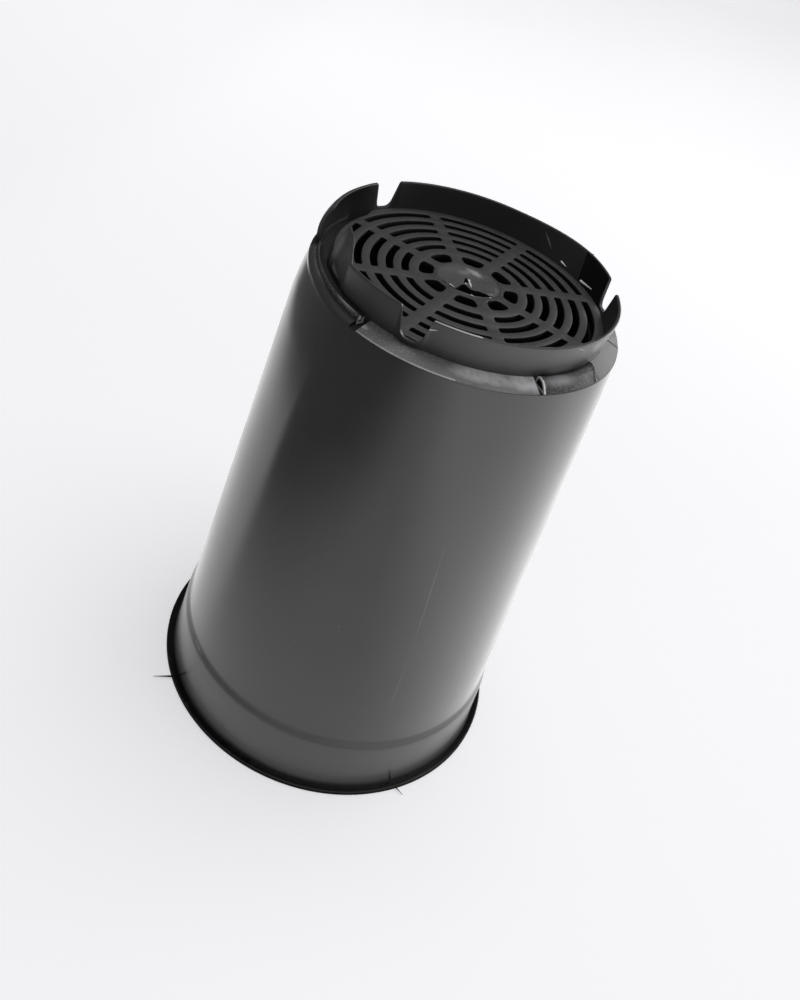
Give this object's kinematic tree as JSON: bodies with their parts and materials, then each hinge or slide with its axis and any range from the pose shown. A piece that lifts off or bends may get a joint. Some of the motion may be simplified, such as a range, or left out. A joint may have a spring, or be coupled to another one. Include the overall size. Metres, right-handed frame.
{
  "type": "flower pot",
  "caption": "Tall tapered nursery flower pot in black moulded plastic: collared rim, drainage grille set inside a notched foot, denesting lugs on a nesting ledge.",
  "frame": {"origin": "centre of the mouth, on the plane that the rim rests on, with the pot standing mouth down as in the picture", "axes": "+Z from the mouth up to the foot along the pot's axis; -Y is the front, which faces the picture's camera; +X to the right"},
  "size_m": [0.17, 0.17, 0.24],
  "materials": {
    "satin_black": "satin injection-moulded polypropylene, near black, lightly scuffed",
    "gloss_black": "polished moulded lip, near black",
    "grille_black": "matt moulded polypropylene with a faint bloom"
  },
  "bodies": {
    "root": {"rim_flange": "gloss_black", "collar": "satin_black", "shoulder": "satin_black", "body_wall": "satin_black", "base_ledge": "satin_black", "denest_lug_right": "satin_black", "denest_lug_back": "satin_black", "denest_lug_left": "satin_black", "ledge_pad_front": "satin_black", "ledge_pad_right_rear": "satin_black", "ledge_pad_left_rear": "satin_black", "foot_root": "satin_black", "foot_wall_right": "satin_black", "foot_wall_back": "satin_black", "foot_wall_left_rear": "satin_black", "foot_wall_left_front": "satin_black", "drainage_grille": "grille_black", "gate_pad": "grille_black"}
  },
  "joints": []
}
